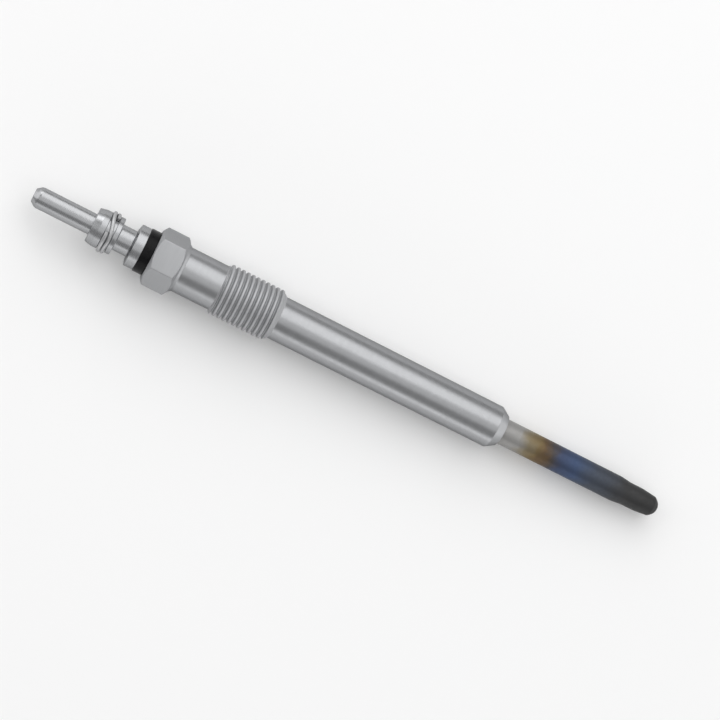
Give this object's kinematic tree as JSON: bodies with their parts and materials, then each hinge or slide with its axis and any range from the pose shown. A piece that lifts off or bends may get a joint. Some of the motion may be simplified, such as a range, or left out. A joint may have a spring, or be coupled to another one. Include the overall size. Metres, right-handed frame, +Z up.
{
  "type": "diesel glow plug",
  "caption": "Slim sheathed glow plug: contact pin with snap ring, hexagon, fine thread, plain body with sealing cone and a temper-coloured glow tube with a tapered tip.",
  "frame": {"origin": "on the plug's axis, where the plain body meets the sealing cone", "axes": "+X along the plug's axis towards the glow tube's tip, +Z up from the hexagon flat that the plug lies on"},
  "size_m": [0.1291, 0.0116, 0.01],
  "materials": {
    "terminal_steel": "bright plated steel, satin",
    "spring_wire": "bright drawn spring wire",
    "insulator": "black moulded plastic, slightly glossy",
    "seal_rubber": "dark rubber",
    "housing_steel": "plated steel, satin turned",
    "stud_steel": "drawn steel",
    "tube_alloy": "heat-tinted nickel alloy: grey, straw, brown, blue, charcoal towards the tip",
    "control_wire": "nickel wire",
    "heating_wire": "heating wire",
    "magnesia": "pressed white powder"
  },
  "bodies": {
    "root": {"terminal": "terminal_steel", "snap_ring": "spring_wire", "insulating_ring": "insulator", "body_seal": "seal_rubber", "housing": "housing_steel", "terminal_stud": "stud_steel", "glow_tube": "tube_alloy", "tube_seal": "seal_rubber", "control_coil": "control_wire", "heating_coil": "heating_wire", "magnesia_fill": "magnesia"}
  },
  "joints": []
}
